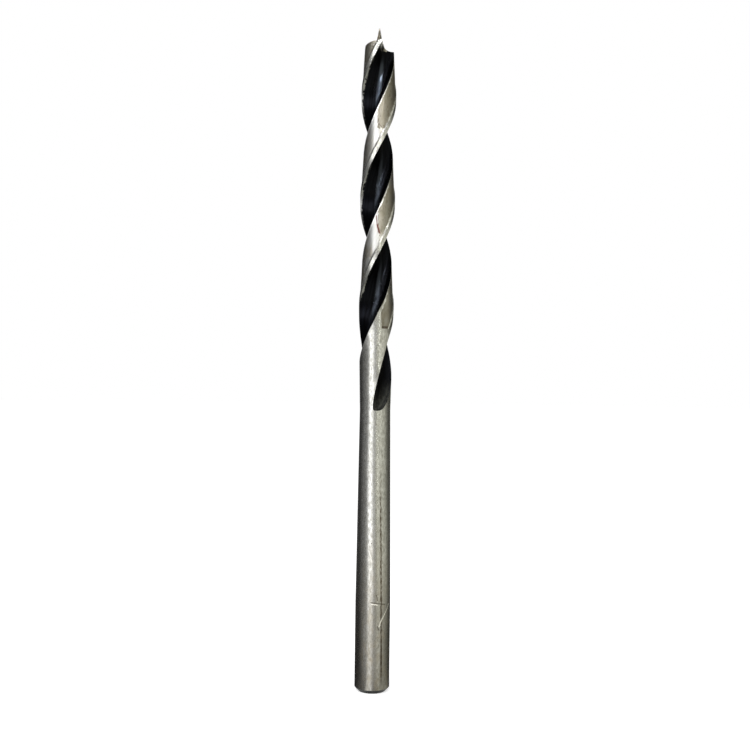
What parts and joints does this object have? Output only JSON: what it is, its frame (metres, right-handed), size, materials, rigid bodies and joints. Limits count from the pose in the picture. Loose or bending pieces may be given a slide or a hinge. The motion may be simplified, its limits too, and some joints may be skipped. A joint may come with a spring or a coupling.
{
  "type": "brad-point wood drill bit",
  "caption": "Twist drill bit for wood with a centre brad, two spurs, two helical flutes and a plain round shank.",
  "frame": {"origin": "centre of the flat shank end, on the bit's axis", "axes": "+Z along the axis from the shank end to the point; -Y is the front"},
  "size_m": [0.004, 0.004, 0.075],
  "materials": {
    "tool_steel": "ground steel with black oxide left in the flutes"
  },
  "bodies": {
    "root": {"drill_bit": "tool_steel"}
  },
  "joints": []
}
